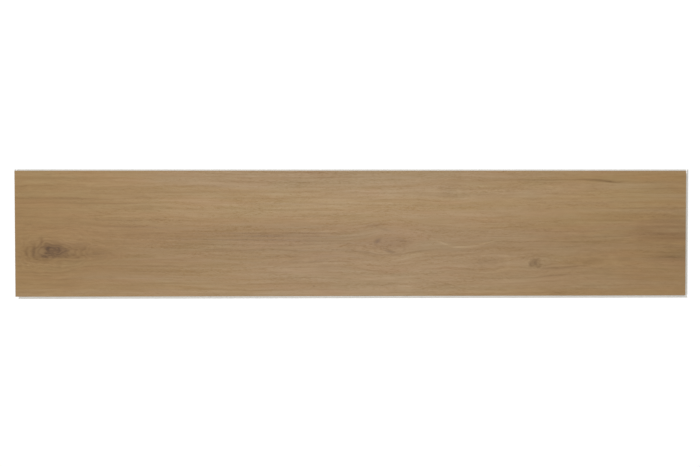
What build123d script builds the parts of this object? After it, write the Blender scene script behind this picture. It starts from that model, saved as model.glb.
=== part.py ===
from build123d import *
import os
from math import radians, tan

# Rigid core vinyl plank, milled from one pressed board, with a click edge on all four sides.
# Millimetres, +Z up. The plank lies flat with its wear face up, its length along X and its
# width along Y. The origin is on the underside, below the middle of the wear face.
# The long sides roll together: tongue at +Y, groove over a locking lip at -Y.
# The short ends drop together: foot with a snap bead at -X, hook on a lip at +X.

# Wear face and board
FACE_LENGTH = 1220.0
FACE_WIDTH = 228.0
THICKNESS = 5.0
MICRO_BEVEL = 0.4

# Long sides: the next plank rolls in about the upper edge, so the seat is an arc round it
PLAY = 0.05
LIP_THICKNESS = 1.1
LIP_REACH = 4.4
SEAT_CURL = 39.0
GROOVE_CEILING = 3.3
GROOVE_DEPTH = 2.6
GROOVE_ENTRY = 0.25
TONGUE_REACH = 2.35
RIDGE_START = 2.6
RIDGE_HEIGHT = 0.85
RIDGE_SLOPE = 45.0
RIDGE_CREST = 0.35
RECESS_HEADROOM = 0.15

# Short ends: the next plank is pressed straight down. No level here is one of the long sides'
# levels, so nothing thin is left where the two meet at a corner.
END_PLAY = 0.07
END_LIP_THICKNESS = 1.05
HOOK_START = 2.45
HOOK_LEAN = 0.2
HOOK_TOP = 3.2
HOOK_CREST_END = 4.0
HOOK_REACH = 4.6
SHOULDER_DROP = 0.7
SNAP_HEIGHT = 2.7
SNAP_GROOVE_DEPTH = 0.3
SNAP_GROOVE_MOUTH = 0.8
SNAP_GROOVE_FLOOR = 0.3
SNAP_BEAD_DEPTH = 0.22
SNAP_BEAD_ROOT = 0.7
SNAP_BEAD_TIP = 0.16
FOOT_SETBACK = 0.1
HOOK_HEADROOM = 0.15

# Roundings left by the milling tools
TINY_ROUND = 0.1
SMALL_ROUND = 0.2
ROOT_ROUND = 0.3
NOSE_ROUND = 0.45

# Both kinds of lip
LIP_ROOM = 0.3
UNDERSIDE_CHAMFER = 0.3

# Board before milling: what it has outside the wear face, and how far the cutters overrun it
BOARD_ALLOWANCE = 6.0
OVERRUN = 1.0

# Height of the edge that two joined wear faces share, which is also where a plank rolls in
UPPER_EDGE = THICKNESS - MICRO_BEVEL


# Each edge is a list of corners from the wear face down to the underside. A corner is how far
# it stands out from the edge of the wear face, its height, and the radius that rounds it.
def bevelled_top():
    return [(-MICRO_BEVEL, THICKNESS, 0), (0, UPPER_EDGE, 0)]


def curled_seat(lowest, far_end):
    """Corners of an arc about the upper edge, level at its lowest point and then rising.

    The arc ends in its own tangent, which runs on to far_end. Returned as how far each corner
    lies from the edge of the wear face, its height, and its radius.
    """
    seat_radius = UPPER_EDGE - lowest
    bend = seat_radius * tan(radians(SEAT_CURL / 2))
    end_height = lowest + (far_end - bend) * tan(radians(SEAT_CURL))
    return (bend, lowest, seat_radius), (far_end, end_height, SMALL_ROUND)


def groove_edge():
    """Groove in the long side, with the lip and its locking ridge below."""
    bend, seat_end = curled_seat(LIP_THICKNESS, GROOVE_DEPTH)
    ridge_top = LIP_THICKNESS + RIDGE_HEIGHT
    crest_start = RIDGE_START + RIDGE_HEIGHT / tan(radians(RIDGE_SLOPE))
    crest_end = crest_start + RIDGE_CREST
    return bevelled_top() + [
        (0, GROOVE_CEILING + GROOVE_ENTRY, 0),
        (-GROOVE_ENTRY, GROOVE_CEILING, 0),
        (-GROOVE_DEPTH, GROOVE_CEILING, NOSE_ROUND),
        (-seat_end[0], seat_end[1], seat_end[2]),
        (-bend[0], bend[1], bend[2]),
        (RIDGE_START, LIP_THICKNESS, ROOT_ROUND),
        (crest_start, ridge_top, SMALL_ROUND),
        (crest_end, ridge_top, ROOT_ROUND),
        (LIP_REACH, ridge_top - (LIP_REACH - crest_end), ROOT_ROUND),
        (LIP_REACH, UNDERSIDE_CHAMFER, 0),
        (LIP_REACH - UNDERSIDE_CHAMFER, 0, 0),
    ]


def tongue_edge():
    """Tongue of the long side, with the recess that takes the next plank's lip."""
    foot_height = LIP_THICKNESS + PLAY
    bend, nose = curled_seat(foot_height, TONGUE_REACH)
    recess_ceiling = LIP_THICKNESS + RIDGE_HEIGHT + RECESS_HEADROOM
    lock_start = RIDGE_START - PLAY
    lock_end = lock_start + (recess_ceiling - foot_height) / tan(radians(RIDGE_SLOPE))
    recess_end = LIP_REACH + LIP_ROOM
    ceiling_end = lock_end + RIDGE_CREST + PLAY
    return bevelled_top() + [
        (0, GROOVE_CEILING - PLAY, TINY_ROUND),
        (TONGUE_REACH, GROOVE_CEILING - PLAY, NOSE_ROUND),
        nose,
        bend,
        (-lock_start, foot_height, TINY_ROUND),
        (-lock_end, recess_ceiling, TINY_ROUND),
        (-ceiling_end, recess_ceiling, ROOT_ROUND),
        (-recess_end, recess_ceiling - (recess_end - ceiling_end), ROOT_ROUND),
        (-recess_end, UNDERSIDE_CHAMFER, 0),
        (-recess_end - UNDERSIDE_CHAMFER, 0, 0),
    ]


def hook_edge():
    """Short end that lies below: a lip with a hook, and a snap groove in the end face."""
    return bevelled_top() + [
        (0, SNAP_HEIGHT + SNAP_GROOVE_MOUTH / 2, 0),
        (-SNAP_GROOVE_DEPTH, SNAP_HEIGHT + SNAP_GROOVE_FLOOR / 2, TINY_ROUND),
        (-SNAP_GROOVE_DEPTH, SNAP_HEIGHT - SNAP_GROOVE_FLOOR / 2, TINY_ROUND),
        (0, SNAP_HEIGHT - SNAP_GROOVE_MOUTH / 2, TINY_ROUND),
        (0, END_LIP_THICKNESS, ROOT_ROUND),
        (HOOK_START, END_LIP_THICKNESS, ROOT_ROUND),
        (HOOK_START + HOOK_LEAN, HOOK_TOP, NOSE_ROUND),
        (HOOK_CREST_END, HOOK_TOP, ROOT_ROUND),
        (HOOK_REACH, HOOK_TOP - SHOULDER_DROP, ROOT_ROUND),
        (HOOK_REACH, UNDERSIDE_CHAMFER, 0),
        (HOOK_REACH - UNDERSIDE_CHAMFER, 0, 0),
    ]


def foot_edge():
    """Short end that drops in from above: a foot with a snap bead, and a recess for the hook."""
    foot_height = END_LIP_THICKNESS + END_PLAY
    recess_ceiling = HOOK_TOP + HOOK_HEADROOM
    lean_ratio = HOOK_LEAN / (HOOK_TOP - END_LIP_THICKNESS)
    foot_end = HOOK_START - END_PLAY
    recess_start = foot_end + lean_ratio * (recess_ceiling - foot_height)
    recess_end = HOOK_REACH + LIP_ROOM
    ceiling_end = HOOK_CREST_END + LIP_ROOM
    return bevelled_top() + [
        (0, SNAP_HEIGHT + SNAP_BEAD_ROOT / 2, 0),
        (SNAP_BEAD_DEPTH, SNAP_HEIGHT + SNAP_BEAD_TIP / 2, 0),
        (SNAP_BEAD_DEPTH, SNAP_HEIGHT - SNAP_BEAD_TIP / 2, 0),
        (-FOOT_SETBACK, SNAP_HEIGHT - SNAP_BEAD_ROOT / 2, TINY_ROUND),
        (-FOOT_SETBACK, foot_height, NOSE_ROUND),
        (-foot_end, foot_height, NOSE_ROUND),
        (-recess_start, recess_ceiling, ROOT_ROUND),
        (-ceiling_end, recess_ceiling, ROOT_ROUND),
        (-recess_end, recess_ceiling - SHOULDER_DROP, ROOT_ROUND),
        (-recess_end, UNDERSIDE_CHAMFER, 0),
        (-recess_end - UNDERSIDE_CHAMFER, 0, 0),
    ]


def cutter(edge, run, plane):
    """Bar of what the mill takes away outside an edge, drawn on plane and run long.

    Its outline follows the edge, whose first and last slopes go on past the board's faces.
    """
    (top_out, _, _), (bottom_out, _, _) = edge[0], edge[-1]
    outside = BOARD_ALLOWANCE + OVERRUN
    above, below = THICKNESS + OVERRUN, -OVERRUN
    beyond_top = [(outside, above, 0), (top_out - OVERRUN, above, 0)]
    beyond_bottom = [(bottom_out - OVERRUN, below, 0), (outside, below, 0)]
    outline = beyond_top + edge[1:-1] + beyond_bottom
    corners = [(out, height) for out, height, _ in outline]
    radii = [radius for _, _, radius in outline]
    section = make_face(plane * FilletPolyline(corners, radius=radii, close=True))
    return extrude(section, amount=run / 2 + OVERRUN, both=True)


def side_plane(turn, half_span):
    """Upright plane on an edge of the wear face, its X pointing out of the board."""
    outward = Vector(1, 0, 0).rotate(Axis.Z, turn)
    along = Vector(0, -1, 0).rotate(Axis.Z, turn)
    return Plane(origin=outward * half_span, x_dir=outward, z_dir=along)


def plank():
    """The long sides and then the short ends are milled from the pressed board.

    Where two lips cross at a corner the cutters free a crumb, which drops off.
    """
    board_length = FACE_LENGTH + 2 * BOARD_ALLOWANCE
    board_width = FACE_WIDTH + 2 * BOARD_ALLOWANCE
    board = Box(board_length, board_width, THICKNESS,
                align=(Align.CENTER, Align.CENTER, Align.MIN))
    for edge, turn in ((tongue_edge(), 90), (groove_edge(), -90)):
        board -= cutter(edge, board_length, side_plane(turn, FACE_WIDTH / 2))
    for edge, turn in ((hook_edge(), 0), (foot_edge(), 180)):
        board -= cutter(edge, board_width, side_plane(turn, FACE_LENGTH / 2))
    return board.solids().sort_by(lambda piece: piece.volume)[-1]


os.makedirs("parts", exist_ok=True)
export_step(plank(), "parts/plank.step")
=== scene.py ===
from math import pi, radians

import bpy
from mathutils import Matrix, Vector


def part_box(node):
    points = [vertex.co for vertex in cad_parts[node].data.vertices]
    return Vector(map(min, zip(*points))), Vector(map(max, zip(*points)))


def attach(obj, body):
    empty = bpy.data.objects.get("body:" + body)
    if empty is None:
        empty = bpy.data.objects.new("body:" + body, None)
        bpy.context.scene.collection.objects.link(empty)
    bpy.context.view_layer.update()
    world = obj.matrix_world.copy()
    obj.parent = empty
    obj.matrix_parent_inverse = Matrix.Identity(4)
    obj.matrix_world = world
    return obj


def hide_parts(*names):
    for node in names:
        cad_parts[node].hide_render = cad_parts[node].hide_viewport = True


# Rigid core vinyl plank, oak decor up, seen from straight above.
# Metres. X runs along the plank, Y across it, Z up from the floor that it lies on.
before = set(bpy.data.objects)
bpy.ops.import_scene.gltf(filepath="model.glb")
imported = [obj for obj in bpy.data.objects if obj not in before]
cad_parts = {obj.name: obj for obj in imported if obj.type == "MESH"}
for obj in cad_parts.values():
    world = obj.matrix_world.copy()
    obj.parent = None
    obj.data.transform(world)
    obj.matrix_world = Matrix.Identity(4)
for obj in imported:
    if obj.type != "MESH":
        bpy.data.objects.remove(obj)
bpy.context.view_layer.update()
MM = 0.001
# Slack within which a point counts as lying at a height or on an edge
SLACK = 0.01 * MM

# Flat of the wear face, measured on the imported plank: lips and tongue reach out past it
cad_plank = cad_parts["plank"]
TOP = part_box("plank")[1].z
flat_points = [vertex.co for vertex in cad_plank.data.vertices if vertex.co.z > TOP - SLACK]
FLAT_LOW = Vector((min(point.x for point in flat_points), min(point.y for point in flat_points)))
FLAT_HIGH = Vector((max(point.x for point in flat_points), max(point.y for point in flat_points)))

# Micro bevel of the upper edge, and the layers of the board, down from the wear face
MICRO_BEVEL = 0.4 * MM
WEAR_LAYER = 0.5 * MM
PRINT_FILM = 0.09 * MM
LAYER_BLUR = 0.02 * MM
UPPER_EDGE = TOP - MICRO_BEVEL

# Pressed grain: plain rim left round it, its depth, and the cuts into cells that carry it
RIM = 0.8 * MM
RIM_FADE = 2.0 * MM
PRESSED_DEPTH = 0.09 * MM
HALVINGS = 1
FIRST_CUTS = 3
SECOND_CUTS = 52

# Finer relief, which only the finishes carry: fibres and pores, and the core's ground stone
BUMP_DEPTH = 0.045 * MM
GRIT_DEPTH = 0.015 * MM

# Share of the bake map that the decor takes, and the gap that is left round its parts
DECOR_SHARE = 0.70
MAP_GAP = 0.004

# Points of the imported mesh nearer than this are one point, and faces that turn less are one face
MERGE_REACH = 0.004 * MM
LEAST_TURN = radians(0.3)

# Noises drawn out along the plank: waves a metre along and across it, the seed, and how much
# finer figure rides on them where that isn't detail 1 and roughness 0.5
NOISES = {
    # course of the grain
    "sweep": dict(waves_along=1.4, waves_across=4, seed=3.7),
    "wander": dict(waves_along=9, waves_across=30, seed=8.1),
    "shiver": dict(waves_along=34, waves_across=110, seed=1.9),
    # grain from wide to fine
    "bands": dict(waves_along=3.5, waves_across=60, seed=2.3, detail=2, rough=0.6),
    "lines": dict(waves_along=12, waves_across=250, seed=5.2),
    "flecks": dict(waves_along=44, waves_across=200, seed=6.1, detail=2, rough=0.55),
    "fibres": dict(waves_along=55, waves_across=800, seed=7.6, detail=2, rough=0.6),
    "hairs": dict(waves_along=45, waves_across=2600, seed=21.4, detail=2, rough=0.65),
    "pore_ticks": dict(waves_along=120, waves_across=2300, seed=11.3),
    "pore_patches": dict(waves_along=8, waves_across=70, seed=12.9, detail=2, rough=0.6),
    # late-wood lines
    "line_sweep": dict(waves_along=2.6, waves_across=16, seed=14.2),
    "line_patches": dict(waves_along=4.5, waves_across=20, seed=15.8, detail=2),
    # tone and hue of the decor
    "drift": dict(waves_along=1.6, waves_across=12, seed=9.4),
    "busy": dict(waves_along=5, waves_across=22, seed=6.6),
    "rose": dict(waves_along=9, waves_across=55, seed=17.3, detail=2),
    "olive": dict(waves_along=11, waves_across=48, seed=23.6, detail=2),
    # roller lines of the underside
    "rolled": dict(waves_along=3, waves_across=300, seed=4.4, detail=2),
}

# How far the grain strays across the plank with each noise of its course
SWEEP = 26 * MM
WANDER = 5.5 * MM
SHIVER = 2.2 * MM

# Late-wood lines: radians a metre across the grain, how far their noise shifts them, and the
# steps from no line to a full one on their wave and on the noise of their patches
LATE_WOOD_RATE = 620.0
LATE_WOOD_SHIFT = 11.0
LATE_WOOD_CREST = (0.35, 1.0)
LATE_WOOD_PATCHES = (-0.12, 0.16)

# Open pores: how much their patches crowd them, and the step from no pore to a full one
PORE_CROWDING = 0.45
PORE_STEP = (0.13, 0.19)

# Pressed relief as a share of its depth: at no noise, and with each field of the grain
PRESSED_BASE = 0.45
PRESSED_SHARES = dict(bands=-0.9, lines=-1.6, flecks=-0.8)

# Places of the colour sockets on a Mix node
MIX_SHARE, MIX_FIRST, MIX_SECOND = 0, 6, 7
MIXED = 2


# Node helpers, shared by the finishes and by the pressed grain
def feed(tree, socket, value):
    """Links value to the socket if it is a socket too, and otherwise sets it."""
    if isinstance(value, bpy.types.NodeSocket):
        tree.links.new(value, socket)
    else:
        socket.default_value = value


def add_node(tree, kind, inputs=None, **settings):
    made = tree.nodes.new(kind)
    for name, value in settings.items():
        setattr(made, name, value)
    for name, value in (inputs or {}).items():
        feed(tree, made.inputs[name], value)
    return made


def maths(tree, operation, *values, clamp=False):
    made = add_node(tree, "ShaderNodeMath", operation=operation, use_clamp=clamp)
    for socket, value in zip(made.inputs, values):
        feed(tree, socket, value)
    return made.outputs[0]


def total(tree, *values):
    so_far = values[0]
    for value in values[1:]:
        so_far = maths(tree, "ADD", so_far, value)
    return so_far


def scaled(tree, value, amount):
    return maths(tree, "MULTIPLY", value, amount)


def between(tree, value, low, high, to_low=0.0, to_high=1.0):
    """Smooth step of value from low to high."""
    made = add_node(tree, "ShaderNodeMapRange", {
        "Value": value, "From Min": low, "From Max": high, "To Min": to_low, "To Max": to_high},
        interpolation_type="SMOOTHSTEP")
    return made.outputs[0]


def blend(tree, share, first, second, kind="MIX"):
    """First colour turning into the second with its share, or into their product for MULTIPLY."""
    made = add_node(tree, "ShaderNodeMix", {
        MIX_SHARE: share, MIX_FIRST: first, MIX_SECOND: second}, data_type="RGBA", blend_type=kind)
    return made.outputs[MIXED]


def weighted(tree, base, fields, amounts):
    """Base plus each named field times its amount."""
    return total(tree, base, *(scaled(tree, fields[name], amount) for name, amount in amounts.items()))


def square_sum(tree, u, v):
    return maths(tree, "ADD", maths(tree, "MULTIPLY", u, u), maths(tree, "MULTIPLY", v, v))


def bell(tree, u, v):
    """1 where both are nought, fading smoothly as either grows past 1."""
    return maths(tree, "EXPONENT", scaled(tree, square_sum(tree, u, v), -1.0))


def drawn_noise(tree, along, across, name):
    """Noise about nought, drawn out along the plank as NOISES says."""
    values = NOISES[name]
    place = add_node(tree, "ShaderNodeCombineXYZ", {
        0: scaled(tree, along, values["waves_along"]),
        1: scaled(tree, across, values["waves_across"]),
        2: values["seed"]})
    noise = add_node(tree, "ShaderNodeTexNoise", {
        "Vector": place.outputs[0], "Scale": 1.0,
        "Detail": values.get("detail", 1), "Roughness": values.get("rough", 0.5)})
    return maths(tree, "SUBTRACT", noise.outputs[0], 0.5)


# Knots of the oak decor, in millimetres on the wear face: middle, half sizes, and how
# strongly the grain is pushed round them
KNOTS = {
    "large": dict(along=-537, across=-31, half_length=62, half_width=30, push=0.62),
    "swirl": dict(along=70, across=-16, half_length=52, half_width=34, push=0.75),
    "small": dict(along=334, across=-54, half_length=34, half_width=17, push=0.72),
    "upper": dict(along=172, across=78, half_length=48, half_width=20, push=0.55),
    "left_of_small": dict(along=246, across=-48, half_length=40, half_width=22, push=0.45),
}


def knot_field(tree, along, across, knot):
    """Bell-shaped field of a knot, 1 in its middle, and how far across a point lies from it."""
    off_along = maths(tree, "SUBTRACT", along, knot["along"] * MM)
    off_across = maths(tree, "SUBTRACT", across, knot["across"] * MM)
    u = maths(tree, "DIVIDE", off_along, knot["half_length"] * MM)
    v = maths(tree, "DIVIDE", off_across, knot["half_width"] * MM)
    return bell(tree, u, v), off_across


def grain_waves(tree, along, across):
    """How far the grain wanders across the plank, apart from its long sweep."""
    wander = scaled(tree, drawn_noise(tree, along, across, "wander"), WANDER)
    shiver = scaled(tree, drawn_noise(tree, along, across, "shiver"), SHIVER)
    return maths(tree, "ADD", wander, shiver)


def grain_course(tree, along, across):
    """Across-coordinate that follows the grain: it wanders, and parts round the knots."""
    course = across
    for knot in KNOTS.values():
        field, off_across = knot_field(tree, along, across, knot)
        push = maths(tree, "MULTIPLY", off_across, scaled(tree, field, -knot["push"]))
        course = maths(tree, "ADD", course, push)
    sweep = scaled(tree, drawn_noise(tree, along, across, "sweep"), SWEEP)
    return total(tree, course, sweep, grain_waves(tree, along, across))


def grain_fields(tree, along, course):
    """Grain from wide to fine: growth bands, lines, flecks and single fibres."""
    return {name: drawn_noise(tree, along, course, name)
            for name in ("bands", "lines", "flecks", "fibres")}


def growth_lines(tree, along, course):
    """Thin dark late-wood lines, 1 on a line. They crowd, thin out and sweep as on a sawn face."""
    shift = scaled(tree, drawn_noise(tree, along, course, "line_sweep"), LATE_WOOD_SHIFT)
    phase = maths(tree, "ADD", scaled(tree, course, LATE_WOOD_RATE), shift)
    crest = between(tree, maths(tree, "SINE", phase), *LATE_WOOD_CREST)
    patches = drawn_noise(tree, along, course, "line_patches")
    return maths(tree, "MULTIPLY", crest, between(tree, patches, *LATE_WOOD_PATCHES))


def fine_figure(tree, along, course):
    """What only shows close to: hair-fine fibres about nought, and open pores, 1 where there is one."""
    hairs = drawn_noise(tree, along, course, "hairs")
    ticks = drawn_noise(tree, along, course, "pore_ticks")
    patches = drawn_noise(tree, along, course, "pore_patches")
    crowded = maths(tree, "ADD", ticks, scaled(tree, patches, PORE_CROWDING))
    return {"hairs": hairs, "pores": between(tree, crowded, *PORE_STEP)}


def object_axes(tree):
    spot = add_node(tree, "ShaderNodeTexCoord")
    parted = add_node(tree, "ShaderNodeSeparateXYZ", {0: spot.outputs["Object"]})
    return parted.outputs


# Pressed grain, as real relief of the wear face
def pressed_grain():
    tree = bpy.data.node_groups.new("pressed_grain", "GeometryNodeTree")
    tree.interface.new_socket("Geometry", in_out="INPUT", socket_type="NodeSocketGeometry")
    tree.interface.new_socket("Geometry", in_out="OUTPUT", socket_type="NodeSocketGeometry")
    entry = tree.nodes.new("NodeGroupInput")
    leave = tree.nodes.new("NodeGroupOutput")
    spot = add_node(tree, "GeometryNodeInputPosition")
    along, across, height = add_node(tree, "ShaderNodeSeparateXYZ", {0: spot.outputs[0]}).outputs
    fields = grain_fields(tree, along, grain_course(tree, along, across))
    depth = weighted(tree, PRESSED_BASE, fields, PRESSED_SHARES)
    depth = maths(tree, "MULTIPLY", depth, 1.0, clamp=True)
    middle = (FLAT_LOW + FLAT_HIGH) / 2
    half = (FLAT_HIGH - FLAT_LOW) / 2
    for place, centre, reach in ((along, middle.x, half.x), (across, middle.y, half.y)):
        off = maths(tree, "ABSOLUTE", maths(tree, "SUBTRACT", place, centre))
        inside = maths(tree, "SUBTRACT", reach - RIM, off)
        depth = maths(tree, "MULTIPLY", depth, between(tree, inside, 0.0, RIM_FADE))
    on_face = maths(tree, "GREATER_THAN", height, TOP - SLACK)
    drop = scaled(tree, maths(tree, "MULTIPLY", depth, on_face), -PRESSED_DEPTH)
    shift = add_node(tree, "ShaderNodeCombineXYZ", {2: drop})
    pressed = add_node(tree, "GeometryNodeSetPosition", {
        "Geometry": entry.outputs[0], "Offset": shift.outputs[0]})
    tree.links.new(pressed.outputs[0], leave.inputs[0])
    return tree


# The board
def choose(piece, test):
    """Leaves exactly the faces that pass the test selected, in edit mode."""
    bpy.ops.object.mode_set(mode="EDIT")
    bpy.ops.mesh.select_mode(type="FACE")
    bpy.ops.mesh.select_all(action="DESELECT")
    bpy.ops.object.mode_set(mode="OBJECT")
    for face in piece.data.polygons:
        face.select = test(face)
    bpy.ops.object.mode_set(mode="EDIT")


def is_flat_top(face):
    return face.center.z > TOP - SLACK and face.normal.z > 0.99


def cut_for_relief(piece):
    """Plain rim round the wear face, and inside it cells fine enough to carry the grain."""
    choose(piece, is_flat_top)
    bpy.ops.mesh.inset(thickness=RIM)
    bpy.ops.object.mode_set(mode="OBJECT")
    mesh = piece.data
    field = max((face for face in mesh.polygons if is_flat_top(face)), key=lambda face: face.area)
    corners = [mesh.vertices[index].co for index in field.vertices]
    ends = (min(corner.x for corner in corners), max(corner.x for corner in corners))
    field_points = set(field.vertices)
    bpy.ops.object.mode_set(mode="EDIT")
    bpy.ops.mesh.select_mode(type="EDGE")
    bpy.ops.mesh.select_all(action="DESELECT")
    bpy.ops.object.mode_set(mode="OBJECT")
    for edge in mesh.edges:
        one, other = (mesh.vertices[index].co for index in edge.vertices)
        on_field = field_points.issuperset(edge.vertices)
        at_end = any(abs(one.x - end) + abs(other.x - end) < SLACK for end in ends)
        edge.select = on_field and at_end
    bpy.ops.object.mode_set(mode="EDIT")
    bpy.ops.mesh.subdivide(number_cuts=HALVINGS)
    bpy.ops.object.mode_set(mode="OBJECT")
    # A strip of the rim is smaller than this, and the halves of the field are larger
    rim_area = (ends[1] - ends[0]) * RIM
    choose(piece, lambda face: is_flat_top(face) and face.area > 2 * rim_area)
    bpy.ops.mesh.subdivide(number_cuts=FIRST_CUTS)
    bpy.ops.mesh.subdivide(number_cuts=SECOND_CUTS)
    bpy.ops.object.mode_set(mode="OBJECT")


def is_decor(face):
    return face.center.z > UPPER_EDGE + SLACK


def map_board(piece):
    """Bake map: the decor seen from above over most of the square, the rest below it."""
    choose(piece, lambda face: not is_decor(face))
    piece.data.uv_layers.new(name="OFBake")
    bpy.ops.uv.smart_project(angle_limit=radians(60), island_margin=0.006, scale_to_bounds=True)
    bpy.ops.object.mode_set(mode="OBJECT")
    mesh = piece.data
    spots = mesh.uv_layers["OFBake"].data
    low = FLAT_LOW - Vector((MICRO_BEVEL, MICRO_BEVEL))
    span = FLAT_HIGH - FLAT_LOW + 2 * Vector((MICRO_BEVEL, MICRO_BEVEL))
    rest_share = 1 - DECOR_SHARE
    for face in mesh.polygons:
        decor = is_decor(face)
        for loop in face.loop_indices:
            if decor:
                point = mesh.vertices[mesh.loops[loop].vertex_index].co
                u = (point.x - low.x) / span.x
                v = (point.y - low.y) / span.y
                spots[loop].uv = (MAP_GAP + u * (1 - 2 * MAP_GAP),
                                  rest_share + MAP_GAP + v * (DECOR_SHARE - 2 * MAP_GAP))
            else:
                u, v = spots[loop].uv
                spots[loop].uv = (MAP_GAP + u * (1 - 2 * MAP_GAP),
                                  MAP_GAP + v * (rest_share - 2 * MAP_GAP))


def make_board():
    mesh = cad_plank.data.copy()
    mesh.name = "plank_board"
    mesh.materials.clear()
    piece = bpy.data.objects.new("plank_board", mesh)
    bpy.context.collection.objects.link(piece)
    bpy.ops.object.select_all(action="DESELECT")
    piece.select_set(True)
    bpy.context.view_layer.objects.active = piece
    bpy.ops.object.mode_set(mode="EDIT")
    bpy.ops.mesh.select_all(action="SELECT")
    bpy.ops.mesh.remove_doubles(threshold=MERGE_REACH)
    bpy.ops.mesh.customdata_custom_splitnormals_clear()
    bpy.ops.mesh.dissolve_limited(angle_limit=LEAST_TURN)
    bpy.ops.object.mode_set(mode="OBJECT")
    cut_for_relief(piece)
    map_board(piece)
    grain = piece.modifiers.new("pressed_grain", "NODES")
    grain.node_group = pressed_grain()
    bpy.ops.object.modifier_apply(modifier="pressed_grain")
    bpy.ops.object.shade_smooth_by_angle(angle=radians(28))
    return piece


def finish_board(piece):
    grit = stone_grit()
    for material in (oak_decor(), milled_core(grit), core_underside(grit)):
        piece.data.materials.append(material)
    for face in piece.data.polygons:
        if is_decor(face):
            face.material_index = 0
        elif face.center.z < SLACK:
            face.material_index = 2
        else:
            face.material_index = 1


# Finishes
def new_finish(name):
    finish = bpy.data.materials.new(name)
    finish.use_nodes = True
    tree = finish.node_tree
    return finish, tree, tree.nodes["Principled BSDF"]


def group_with(name, inputs, outputs):
    """Shader node group of plain numbers: the group, its inputs, and the node of its outputs."""
    tree = bpy.data.node_groups.new(name, "ShaderNodeTree")
    for names, side in ((inputs, "INPUT"), (outputs, "OUTPUT")):
        for one in names:
            tree.interface.new_socket(one, in_out=side, socket_type="NodeSocketFloat")
    return tree, tree.nodes.new("NodeGroupInput").outputs, tree.nodes.new("NodeGroupOutput")


# Knots: waves for each half size in the noises of their rim, crumbs and cracks, and how far the
# rim strays, in half sizes
KNOT_LUMPS = 1.3
KNOT_CRUMBS = 3.2
KNOT_CRACKS = 2.1
KNOT_UNEVENNESS = 1.6

# Heart of a knot: its edge in half sizes, from none to full, the step on the noise of its crumbs
# and the share of the dark that the palest keep, then the edge of a crack and its share of the dark
HEART_EDGE = (1.2, 0.5)
CRUMB_STEP = (0.30, 0.46)
PALE_CRUMB = 0.55
CRACK_EDGE = 0.022
CRACK_TONE = 1.18

# Rings of a knot: how fast they fade outwards, and the step on the rim's noise that hides them
RING_FADE = 0.45
RING_GAPS = (0.42, 0.54)

# Inputs that place a mark on the decor
PLACE_INPUTS = ("Along", "Across", "Middle Along", "Middle Across", "Half Length", "Half Width", "Slope")


def placed_axes(tree, entry):
    """Coordinates about a mark's middle, 1 at its half length and half width."""
    off_along = maths(tree, "SUBTRACT", entry["Along"], entry["Middle Along"])
    off_across = maths(tree, "SUBTRACT", entry["Across"], entry["Middle Across"])
    off_across = maths(tree, "SUBTRACT", off_across, maths(tree, "MULTIPLY", off_along, entry["Slope"]))
    u = maths(tree, "DIVIDE", off_along, entry["Half Length"])
    v = maths(tree, "DIVIDE", off_across, entry["Half Width"])
    return u, v


def streak_group():
    """Soft mark along the grain: 1 in its middle and fading at its ends and sides."""
    tree, entry, leave = group_with("grain_streak", PLACE_INPUTS, ("Mask",))
    feed(tree, leave.inputs["Mask"], bell(tree, *placed_axes(tree, entry)))
    return tree


def plain_noise(tree, place, scale, detail):
    made = add_node(tree, "ShaderNodeTexNoise", {"Vector": place, "Scale": scale, "Detail": detail})
    return made.outputs[0]


def knot_group():
    """Round knot with an uneven rim: its dark heart, and the rings that fade out round it.

    Breaks is nought for whole rings and 1 for rings that show only in patches.
    """
    inputs = PLACE_INPUTS + ("Rings", "Breaks", "Seed")
    tree, entry, leave = group_with("knot_figure", inputs, ("Heart", "Ring Tone"))
    u, v = placed_axes(tree, entry)
    spot = add_node(tree, "ShaderNodeCombineXYZ", {0: u, 1: v, 2: entry["Seed"]}).outputs[0]
    lumps = plain_noise(tree, spot, KNOT_LUMPS, 2.0)
    crumbs = plain_noise(tree, spot, KNOT_CRUMBS, 2.0)
    reach = maths(tree, "SQRT", square_sum(tree, u, v))
    uneven = scaled(tree, maths(tree, "SUBTRACT", lumps, 0.5), KNOT_UNEVENNESS)
    reach = maths(tree, "ADD", reach, uneven)
    heart = between(tree, reach, *HEART_EDGE)
    heart = maths(tree, "MULTIPLY", heart, between(tree, crumbs, *CRUMB_STEP, PALE_CRUMB, 1.0))
    cracks = plain_noise(tree, spot, KNOT_CRACKS, 3.0)
    ridge = maths(tree, "ABSOLUTE", maths(tree, "SUBTRACT", cracks, 0.5))
    heart = maths(tree, "MULTIPLY", heart, between(tree, ridge, 0.0, CRACK_EDGE, CRACK_TONE, 1.0))
    wave = maths(tree, "SINE", maths(tree, "MULTIPLY", reach, scaled(tree, entry["Rings"], 2 * pi)))
    fade = maths(tree, "EXPONENT", scaled(tree, maths(tree, "MULTIPLY", reach, reach), -RING_FADE))
    hidden = maths(tree, "MULTIPLY", entry["Breaks"], between(tree, lumps, *RING_GAPS))
    fade = maths(tree, "MULTIPLY", fade, maths(tree, "SUBTRACT", 1.0, hidden))
    feed(tree, leave.inputs["Heart"], heart)
    feed(tree, leave.inputs["Ring Tone"], maths(tree, "MULTIPLY", wave, fade))
    return tree


def set_place(made, mark):
    """Middle, half sizes and slope of a mark, given in millimetres, into its group node."""
    for name, key in (("Middle Along", "along"), ("Middle Across", "across"),
                      ("Half Length", "half_length"), ("Half Width", "half_width")):
        made.inputs[name].default_value = mark[key] * MM
    made.inputs["Slope"].default_value = mark.get("slope", 0.0)


def placed_sum(tree, group, output, along, across, marks):
    """Sum of one output of a group placed at every mark, times the mark's depth."""
    so_far = 0.0
    for mark in marks:
        one = add_node(tree, "ShaderNodeGroup", {"Along": along, "Across": across}, node_tree=group)
        set_place(one, mark)
        so_far = maths(tree, "ADD", scaled(tree, one.outputs[output], mark["depth"]), so_far)
    return so_far


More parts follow.
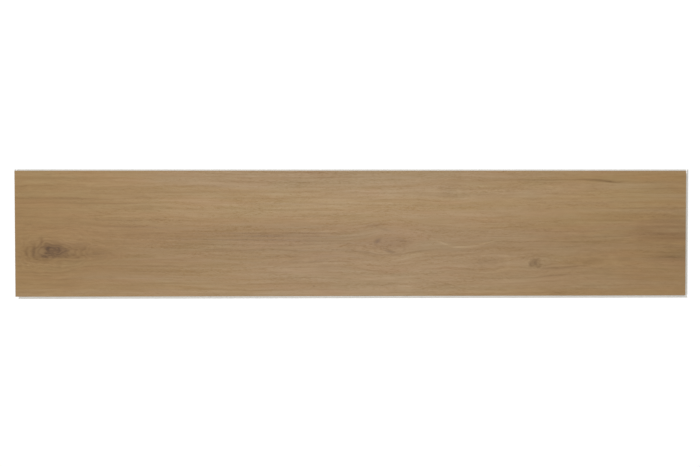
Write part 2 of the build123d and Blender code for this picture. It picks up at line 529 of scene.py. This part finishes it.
# Streaks of the decor, in millimetres on the wear face. Depth is how much darker than the
# grain round it, in steps of the decor's tone, and a lighter streak has a depth below nought.
# Slope is how far a streak climbs across the plank for each step along it
STREAKS = (
    # round the large knot
    dict(along=-572, across=-33, half_length=27, half_width=14, depth=5),
    dict(along=-558, across=-41, half_length=20, half_width=4, depth=11, slope=0.05),
    dict(along=-555, across=-30, half_length=12, half_width=10, depth=8),
    dict(along=-534, across=-31, half_length=14, half_width=8, depth=6),
    dict(along=-590, across=-36, half_length=4, half_width=11, depth=9),
    dict(along=-576, across=-31, half_length=4, half_width=9, depth=9),
    dict(along=-562, across=-12, half_length=3, half_width=6, depth=10),
    dict(along=-552, across=-20, half_length=22, half_width=4, depth=8, slope=0.05),
    dict(along=-492, across=-27, half_length=34, half_width=5, depth=9, slope=-0.10),
    dict(along=-480, across=-38, half_length=44, half_width=5, depth=8, slope=0.05),
    dict(along=-560, across=-58, half_length=40, half_width=4, depth=-5),
    # left end
    dict(along=-586, across=17, half_length=6, half_width=1.3, depth=8),
    dict(along=-515, across=63, half_length=46, half_width=2.4, depth=8),
    dict(along=-450, across=55, half_length=90, half_width=1.7, depth=8, slope=-0.01),
    dict(along=-545, across=101, half_length=55, half_width=3.0, depth=6),
    dict(along=-530, across=-93, half_length=35, half_width=3.5, depth=5),
    # dark lines left of the middle
    dict(along=-214, across=94, half_length=45, half_width=3.0, depth=6, slope=-0.04),
    dict(along=-240, across=87, half_length=30, half_width=2.0, depth=4),
    dict(along=-170, across=13, half_length=190, half_width=6.0, depth=4),
    dict(along=-150, across=0.5, half_length=110, half_width=1.5, depth=14),
    dict(along=-125, across=-4.0, half_length=105, half_width=1.3, depth=12, slope=-0.005),
    dict(along=-150, across=-6.0, half_length=140, half_width=1.3, depth=9, slope=-0.005),
    dict(along=-190, across=-11, half_length=110, half_width=1.5, depth=9, slope=-0.01),
    dict(along=-60, across=-13, half_length=80, half_width=1.4, depth=8, slope=0.02),
    dict(along=-90, across=-45, half_length=25, half_width=4.0, depth=-5, slope=0.15),
    dict(along=-62, across=-50, half_length=22, half_width=2.5, depth=6, slope=0.15),
    dict(along=-70, across=-96, half_length=2.0, half_width=1.6, depth=16),
    dict(along=-385, across=66, half_length=20, half_width=3, depth=7),
    # the swirl and what is right of it
    dict(along=47, across=-12, half_length=7, half_width=4.5, depth=22, slope=0.3),
    dict(along=42, across=15, half_length=17, half_width=3, depth=12, slope=0.12),
    dict(along=60, across=7, half_length=14, half_width=2.2, depth=8, slope=-0.25),
    dict(along=69, across=-33, half_length=9, half_width=3.5, depth=13, slope=-0.35),
    dict(along=84, across=-39, half_length=10, half_width=2.5, depth=6, slope=0.1),
    dict(along=112, across=-38, half_length=24, half_width=3.5, depth=-6, slope=0.05),
    dict(along=95, across=-14, half_length=15, half_width=2.5, depth=8, slope=-0.1),
    dict(along=186, across=88, half_length=24, half_width=3, depth=7),
    dict(along=166, across=-19.5, half_length=17, half_width=2.0, depth=-9, slope=-0.4),
    dict(along=198, across=-26, half_length=18, half_width=1.5, depth=-11, slope=-0.05),
    dict(along=244, across=-18.5, half_length=30, half_width=1.6, depth=-11, slope=0.22),
    dict(along=200, across=-31, half_length=34, half_width=3, depth=5),
    dict(along=236, across=-53, half_length=16, half_width=8, depth=6),
    # round the small knot
    dict(along=370, across=-64, half_length=26, half_width=2.2, depth=16, slope=0.02),
    dict(along=404, across=-61, half_length=22, half_width=1.8, depth=11, slope=0.12),
    dict(along=368, across=-78, half_length=30, half_width=2.0, depth=8, slope=0.08),
    dict(along=325, across=-58, half_length=3, half_width=5, depth=10),
    dict(along=333, across=-53, half_length=5, half_width=7, depth=7),
    dict(along=444, across=-49, half_length=11, half_width=6, depth=9),
    # upper right line and right end
    dict(along=345, across=97, half_length=100, half_width=1.6, depth=14, slope=0.015),
    dict(along=442, across=97, half_length=20, half_width=1.9, depth=15, slope=-0.05),
    dict(along=466, across=95, half_length=18, half_width=2.2, depth=18, slope=-0.06),
    dict(along=490, across=94.5, half_length=15, half_width=1.5, depth=8, slope=0.08),
    dict(along=548, across=94, half_length=50, half_width=1.5, depth=10),
    dict(along=595, across=30, half_length=32, half_width=2.5, depth=6),
    dict(along=582, across=20, half_length=46, half_width=2.5, depth=9),
    dict(along=600, across=11, half_length=50, half_width=2.5, depth=11),
    dict(along=532, across=9, half_length=26, half_width=4, depth=7),
    dict(along=585, across=-2, half_length=70, half_width=3.5, depth=13),
    dict(along=592, across=-9, half_length=60, half_width=2.2, depth=9),
    dict(along=600, across=-17, half_length=45, half_width=2, depth=-9),
    dict(along=500, across=-46, half_length=14, half_width=4, depth=8),
    dict(along=580, across=-45, half_length=38, half_width=6, depth=13),
)

# Zones: wide, unbroken changes of the same tone
ZONES = (
    dict(along=-60, across=-12, half_length=900, half_width=26, depth=5),
    dict(along=-60, across=52, half_length=420, half_width=26, depth=-3),
    dict(along=-460, across=-62, half_length=210, half_width=52, depth=7),
    dict(along=-500, across=98, half_length=190, half_width=32, depth=-4),
    dict(along=520, across=70, half_length=180, half_width=40, depth=-8),
    dict(along=250, across=-95, half_length=120, half_width=22, depth=-3),
    dict(along=570, across=4, half_length=75, half_width=34, depth=5),
    dict(along=600, across=-40, half_length=45, half_width=24, depth=4),
    dict(along=-40, across=-62, half_length=42, half_width=9, depth=6),
    dict(along=78, across=-46, half_length=42, half_width=9, depth=-6),
    dict(along=400, across=-29, half_length=75, half_width=13, depth=4),
    dict(along=566, across=82, half_length=45, half_width=9, depth=5),
)

# Places where the fine grain is livelier than elsewhere, by how much, or calmer below nought
BUSY_PLACES = (
    dict(along=-524, across=92, half_length=110, half_width=26, depth=0.6),
    dict(along=-524, across=-92, half_length=110, half_width=26, depth=0.6),
    dict(along=-564, across=19, half_length=55, half_width=24, depth=0.5),
    dict(along=545, across=18, half_length=100, half_width=26, depth=0.5),
    dict(along=545, across=-56, half_length=100, half_width=26, depth=0.5),
    dict(along=575, across=92, half_length=60, half_width=24, depth=0.4),
    dict(along=-180, across=-74, half_length=200, half_width=40, depth=-0.25),
    dict(along=-200, across=54, half_length=170, half_width=22, depth=-0.25),
    dict(along=157, across=-54, half_length=50, half_width=22, depth=-0.3),
)

# Knots drawn in the decor: heart and ring are how much darker they are, as for the streaks. Rings
# is how many there are for each half size, and breaks is 1 where they show only in patches
KNOT_FIGURES = (
    dict(along=-536, across=-31, half_length=27, half_width=15, heart=15, ring=2, rings=1.5, seed=2.6,
         slope=-0.22),
    dict(along=-536, across=-33, half_length=60, half_width=25, heart=4, ring=4.5, rings=3.6, seed=9.4),
    dict(along=76, across=-22, half_length=30, half_width=21, heart=3, ring=2.5, rings=2.2, breaks=1,
         seed=7.7),
    dict(along=171, across=74, half_length=16, half_width=9, heart=7, ring=3, rings=1.2, breaks=1,
         seed=5.5),
    dict(along=334, across=-54, half_length=12, half_width=9, heart=16, ring=3, rings=1.4, seed=8.2),
    dict(along=252, across=-52, half_length=24, half_width=15, heart=3, ring=3, rings=1.3, seed=3.1),
    dict(along=430, across=-50, half_length=34, half_width=18, heart=2, ring=3, rings=1.2, seed=6.4),
)

# Washes of hue: where the brown is greyer than the golden rest, and by what share. Below nought
# it is more golden
GREY_WASHES = (
    dict(along=20, across=-40, half_length=330, half_width=62, depth=1.0),
    dict(along=-60, across=108, half_length=330, half_width=26, depth=0.8),
    dict(along=450, across=-88, half_length=230, half_width=36, depth=0.5),
    dict(along=480, across=50, half_length=230, half_width=110, depth=0.42),
    dict(along=-545, across=-32, half_length=50, half_width=16, depth=0.8),
    dict(along=334, across=-54, half_length=22, half_width=14, depth=0.6),
    dict(along=620, across=-10, half_length=80, half_width=120, depth=0.4),
    dict(along=70, across=-98, half_length=280, half_width=22, depth=0.4),
    dict(along=-500, across=14, half_length=140, half_width=40, depth=-0.2),
)

# Where the brown is rosier than the rest
ROSE_WASHES = (
    dict(along=-150, across=4, half_length=330, half_width=30, depth=0.14),
    dict(along=-510, across=62, half_length=60, half_width=7, depth=0.25),
    dict(along=380, across=-30, half_length=260, half_width=60, depth=0.08),
    dict(along=-430, across=-10, half_length=250, half_width=120, depth=0.10),
)

# Where the brown leans to olive
OLIVE_WASHES = (
    dict(along=90, across=84, half_length=330, half_width=42, depth=0.16),
    dict(along=540, across=72, half_length=110, half_width=30, depth=0.14),
    dict(along=180, across=-92, half_length=160, half_width=26, depth=0.12),
)

# Colours of the decor by steps of tone, lighter above nought: crack in a knot, dark knot, dark
# grain, middle and light grain. The ramp reaches this many steps either way
TONE_REACH = 40.0
GOLDEN_TONES = {-40: (0.112, 0.052, 0.013), -33: (0.166, 0.081, 0.022), -17: (0.261, 0.145, 0.046),
                0: (0.354, 0.210, 0.0775), 15: (0.430, 0.272, 0.113)}
GREY_TONES = {-40: (0.114, 0.056, 0.018), -33: (0.168, 0.086, 0.030), -17: (0.260, 0.149, 0.055),
              0: (0.348, 0.212, 0.092), 15: (0.423, 0.272, 0.131)}
ROSE_TINT = (1.022, 0.985, 0.99, 1)
OLIVE_TINT = (0.99, 1.03, 1.05, 1)

# Steps of tone, lighter above nought: at no noise, and with each wide and each fine field
TONE_BASE = 2.1
WIDE_TONES = dict(drift=15, bands=16, late_wood=-5)
FINE_TONES = dict(lines=10.5, flecks=12, fibres=4.5, hairs=10, pores=-7)

# How lines and flecks break up the streaks
STREAK_BREAKS = dict(lines=3.0, flecks=3.0)

# Liveliness of the fine grain: how far its noise swings it, and the least that is left
BUSY_SWING = 2.2
LEAST_BUSY = 0.2

# How bands and drift grey the brown beside the washes, and the steps from none to the full hue
GREY_BANDS = 1.6
GREY_DRIFT = 1.2
GREY_STEP = (0.1, 0.75)
ROSE_STEP = (0.0, 0.26)
OLIVE_STEP = (-0.02, 0.24)

# Wear face: roughness at no noise and with each field, and the fields that its bump follows
DECOR_ROUGHNESS = 0.42
ROUGHNESS_SHARES = dict(lines=-0.30, fibres=-0.12, pores=0.16)
BUMP_SHARES = dict(hairs=0.35, fibres=0.8, pores=-1.0)

# Colours of the core, from its plastic to its stone, and of the layers over it
CORE_COLOURS = (0.65, 0.63, 0.59, 1), (0.88, 0.86, 0.82, 1)
UNDERSIDE_COLOURS = (0.60, 0.58, 0.54, 1), (0.79, 0.765, 0.72, 1)
PRINT_COLOUR = (0.16, 0.10, 0.055, 1)
WEAR_COLOUR = (0.34, 0.24, 0.14, 1)

# Grains of stone in a metre: milled through on the edges, and pressed flat below. Clouds of more
# and less stone are wider
MILLED_GRAINS = 2600.0
PRESSED_GRAINS = 1400.0
CLOUDS = 130.0

# Shares of powder, clouds and chips in the stone that shows, and the edge of a chip
STONE_BASE = -0.12
STONE_SHARES = dict(powder=0.75, clouds=0.35, chips=0.22)
CHIP_EDGE = (0.28, 0.12)

# Roughness of the core from its plastic to its stone: milled, and pressed
MILLED_ROUGHNESS = (0.64, 0.48)
PRESSED_ROUGHNESS = (0.70, 0.52)

# Lines that the cutters leave on the milled edges: waves a metre along an edge and down it
CUTTER_WAVES_ALONG = 25.0
CUTTER_WAVES_DOWN = 9000.0

# Heights beside that of the powder: chips, cutter lines and roller lines. The roller lines also
# bare more or less stone
CHIP_HEIGHT = 0.5
CUTTER_HEIGHT = 1.2
ROLLED_HEIGHT = 2.0
ROLLED_STONE = 0.9


def tone_ramp(tree, place, tones):
    ramp = add_node(tree, "ShaderNodeValToRGB", {0: place})
    stops = ramp.color_ramp.elements
    while len(stops) < len(tones):
        stops.new(0.5)
    for stop, (step, colour) in zip(stops, sorted(tones.items())):
        stop.position = 0.5 + 0.5 * step / TONE_REACH
        stop.color = (*colour, 1)
    return ramp.outputs[0]


def bumped(tree, shader, height, depth):
    bump = add_node(tree, "ShaderNodeBump", {"Height": height, "Distance": depth, "Strength": 1.0})
    feed(tree, shader.inputs["Normal"], bump.outputs[0])


def oak_decor():
    finish, tree, shader = new_finish("oak_decor")
    along, across, _ = object_axes(tree)
    course = grain_course(tree, along, across)
    fields = grain_fields(tree, along, course)
    fields.update(fine_figure(tree, along, course))
    fields["late_wood"] = growth_lines(tree, along, course)
    fields["drift"] = drawn_noise(tree, along, across, "drift")
    busy = total(tree, 1.0, scaled(tree, drawn_noise(tree, along, across, "busy"), BUSY_SWING))

    wavy = maths(tree, "ADD", across, grain_waves(tree, along, across))
    streak, knot = streak_group(), knot_group()
    busy = maths(tree, "ADD", busy, placed_sum(tree, streak, "Mask", along, across, BUSY_PLACES))
    busy = maths(tree, "MAXIMUM", busy, LEAST_BUSY)
    marks = placed_sum(tree, streak, "Mask", along, wavy, STREAKS)
    marks = maths(tree, "MULTIPLY", marks, weighted(tree, 1.0, fields, STREAK_BREAKS))
    zones = placed_sum(tree, streak, "Mask", along, across, ZONES)
    for mark in KNOT_FIGURES:
        one = add_node(tree, "ShaderNodeGroup", {"Along": along, "Across": wavy}, node_tree=knot)
        set_place(one, mark)
        one.inputs["Rings"].default_value = mark["rings"]
        one.inputs["Breaks"].default_value = mark.get("breaks", 0.0)
        one.inputs["Seed"].default_value = mark["seed"]
        marks = total(tree, scaled(tree, one.outputs["Heart"], mark["heart"]),
                      scaled(tree, one.outputs["Ring Tone"], mark["ring"]), marks)

    fine = maths(tree, "MULTIPLY", weighted(tree, 0.0, fields, FINE_TONES), busy)
    tone = total(tree, weighted(tree, TONE_BASE, fields, WIDE_TONES), fine,
                 scaled(tree, marks, -1), scaled(tree, zones, -1))
    place = maths(tree, "ADD", scaled(tree, tone, 0.5 / TONE_REACH), 0.5)

    wash = total(tree, scaled(tree, fields["bands"], GREY_BANDS),
                 placed_sum(tree, streak, "Mask", along, across, GREY_WASHES),
                 scaled(tree, fields["drift"], GREY_DRIFT))
    decor = blend(tree, between(tree, wash, *GREY_STEP),
                  tone_ramp(tree, place, GOLDEN_TONES), tone_ramp(tree, place, GREY_TONES))
    rose = maths(tree, "ADD", drawn_noise(tree, along, course, "rose"),
                 placed_sum(tree, streak, "Mask", along, across, ROSE_WASHES))
    decor = blend(tree, between(tree, rose, *ROSE_STEP), decor, ROSE_TINT, kind="MULTIPLY")
    olive = maths(tree, "ADD", drawn_noise(tree, along, course, "olive"),
                  placed_sum(tree, streak, "Mask", along, across, OLIVE_WASHES))
    decor = blend(tree, between(tree, olive, *OLIVE_STEP), decor, OLIVE_TINT, kind="MULTIPLY")
    feed(tree, shader.inputs["Base Color"], decor)
    feed(tree, shader.inputs["Roughness"], weighted(tree, DECOR_ROUGHNESS, fields, ROUGHNESS_SHARES))
    bumped(tree, shader, weighted(tree, 0.0, fields, BUMP_SHARES), BUMP_DEPTH)
    return finish


def stone_grit():
    """Group of the core's ground stone: how much stone shows at a point, and how high it stands."""
    tree = bpy.data.node_groups.new("stone_grit", "ShaderNodeTree")
    tree.interface.new_socket("Place", in_out="INPUT", socket_type="NodeSocketVector")
    tree.interface.new_socket("Grains per Metre", in_out="INPUT", socket_type="NodeSocketFloat")
    tree.interface.new_socket("Stone", in_out="OUTPUT", socket_type="NodeSocketFloat")
    tree.interface.new_socket("Height", in_out="OUTPUT", socket_type="NodeSocketFloat")
    entry = tree.nodes.new("NodeGroupInput").outputs
    leave = tree.nodes.new("NodeGroupOutput")
    powder = plain_noise(tree, entry["Place"], entry["Grains per Metre"], 3.0)
    clouds = plain_noise(tree, entry["Place"], CLOUDS, 2.0)
    grains = add_node(tree, "ShaderNodeTexVoronoi",
                      {"Vector": entry["Place"], "Scale": entry["Grains per Metre"]})
    chips = between(tree, grains.outputs["Distance"], *CHIP_EDGE)
    parts = dict(powder=powder, clouds=clouds, chips=chips)
    stone = weighted(tree, STONE_BASE, parts, STONE_SHARES)
    feed(tree, leave.inputs["Stone"], maths(tree, "MULTIPLY", stone, 1.0, clamp=True))
    feed(tree, leave.inputs["Height"], total(tree, powder, scaled(tree, chips, CHIP_HEIGHT)))
    return tree


def placed_grit(tree, grit, grains_per_metre):
    spot = add_node(tree, "ShaderNodeTexCoord")
    placed = add_node(tree, "ShaderNodeGroup", node_tree=grit)
    feed(tree, placed.inputs["Place"], spot.outputs["Object"])
    placed.inputs["Grains per Metre"].default_value = grains_per_metre
    return placed.outputs["Stone"], placed.outputs["Height"]


def milled_core(grit):
    """Milled edges: clear wear layer, printed film, then the pale stone-filled core."""
    finish, tree, shader = new_finish("milled_core")
    along, across, height = object_axes(tree)
    share, grain_height = placed_grit(tree, grit, MILLED_GRAINS)
    level = add_node(tree, "ShaderNodeCombineXYZ", {
        0: scaled(tree, along, CUTTER_WAVES_ALONG),
        1: scaled(tree, across, CUTTER_WAVES_ALONG),
        2: scaled(tree, height, CUTTER_WAVES_DOWN)})
    cutter_lines = add_node(tree, "ShaderNodeTexNoise", {"Vector": level.outputs[0], "Scale": 1.0})
    layered = blend(tree, share, *CORE_COLOURS)
    under_wear = TOP - WEAR_LAYER
    for bottom, colour in ((under_wear - PRINT_FILM, PRINT_COLOUR), (under_wear, WEAR_COLOUR)):
        in_layer = between(tree, height, bottom - LAYER_BLUR, bottom)
        layered = blend(tree, in_layer, layered, colour)
    feed(tree, shader.inputs["Base Color"], layered)
    feed(tree, shader.inputs["Roughness"], between(tree, share, 0.0, 1.0, *MILLED_ROUGHNESS))
    relief = total(tree, grain_height, scaled(tree, cutter_lines.outputs[0], CUTTER_HEIGHT))
    bumped(tree, shader, relief, GRIT_DEPTH)
    return finish


def core_underside(grit):
    """Bare core below, with the faint lengthwise lines that the rollers leave."""
    finish, tree, shader = new_finish("core_underside")
    along, across, _ = object_axes(tree)
    rolled = drawn_noise(tree, along, across, "rolled")
    share, grain_height = placed_grit(tree, grit, PRESSED_GRAINS)
    share = total(tree, share, scaled(tree, rolled, ROLLED_STONE))
    feed(tree, shader.inputs["Base Color"], blend(tree, share, *UNDERSIDE_COLOURS))
    feed(tree, shader.inputs["Roughness"], between(tree, share, 0.0, 1.0, *PRESSED_ROUGHNESS))
    relief = total(tree, grain_height, scaled(tree, rolled, ROLLED_HEIGHT))
    bumped(tree, shader, relief, GRIT_DEPTH)
    return finish


# Studio
def studio():
    """Pale floor, a wide soft light overhead, a little left of the middle, and even fill."""
    bpy.ops.mesh.primitive_plane_add(size=90.0, location=(0, 0, -0.2 * MM))
    floor = bpy.context.object
    floor.name = "studio_floor"
    paint, _, shader = new_finish("floor_paint")
    shader.inputs["Base Color"].default_value = (0.93, 0.93, 0.93, 1)
    shader.inputs["Roughness"].default_value = 0.9
    shader.inputs["Specular IOR Level"].default_value = 0.0
    shader.inputs["Emission Color"].default_value = (1, 1, 1, 1)
    shader.inputs["Emission Strength"].default_value = 0.25
    floor.data.materials.append(paint)

    light = bpy.data.lights.new("overhead_softbox", "AREA")
    light.shape = "RECTANGLE"
    light.size = 1.5
    light.size_y = 1.5
    light.energy = 16.8
    lamp = bpy.data.objects.new("overhead_softbox", light)
    lamp.location = (-0.08, 0.05, 1.9)
    lamp.visible_camera = False
    bpy.context.collection.objects.link(lamp)

    world = bpy.data.worlds.new("studio_air")
    world.use_nodes = True
    world.node_tree.nodes["Background"].inputs["Color"].default_value = (1, 1, 1, 1)
    world.node_tree.nodes["Background"].inputs["Strength"].default_value = 0.525
    bpy.context.scene.world = world
    bpy.context.scene.view_settings.view_transform = "Standard"


def overhead_camera():
    """Camera above the plank, leaning by the degree or so that the photograph shows."""
    lens = bpy.data.cameras.new("overhead_camera")
    lens.lens = 50.0
    lens.sensor_width = 36.0
    lens.clip_start = 0.05
    lens.clip_end = 200.0
    camera = bpy.data.objects.new("overhead_camera", lens)
    camera.location = (-0.0346, 0.03985, 1.77165)
    camera.rotation_euler = (radians(-1.2943), radians(-0.9843), radians(-0.0324))
    bpy.context.collection.objects.link(camera)
    bpy.context.scene.camera = camera


studio()
overhead_camera()
plank_board = make_board()
finish_board(plank_board)
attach(plank_board, "root")
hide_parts("plank")
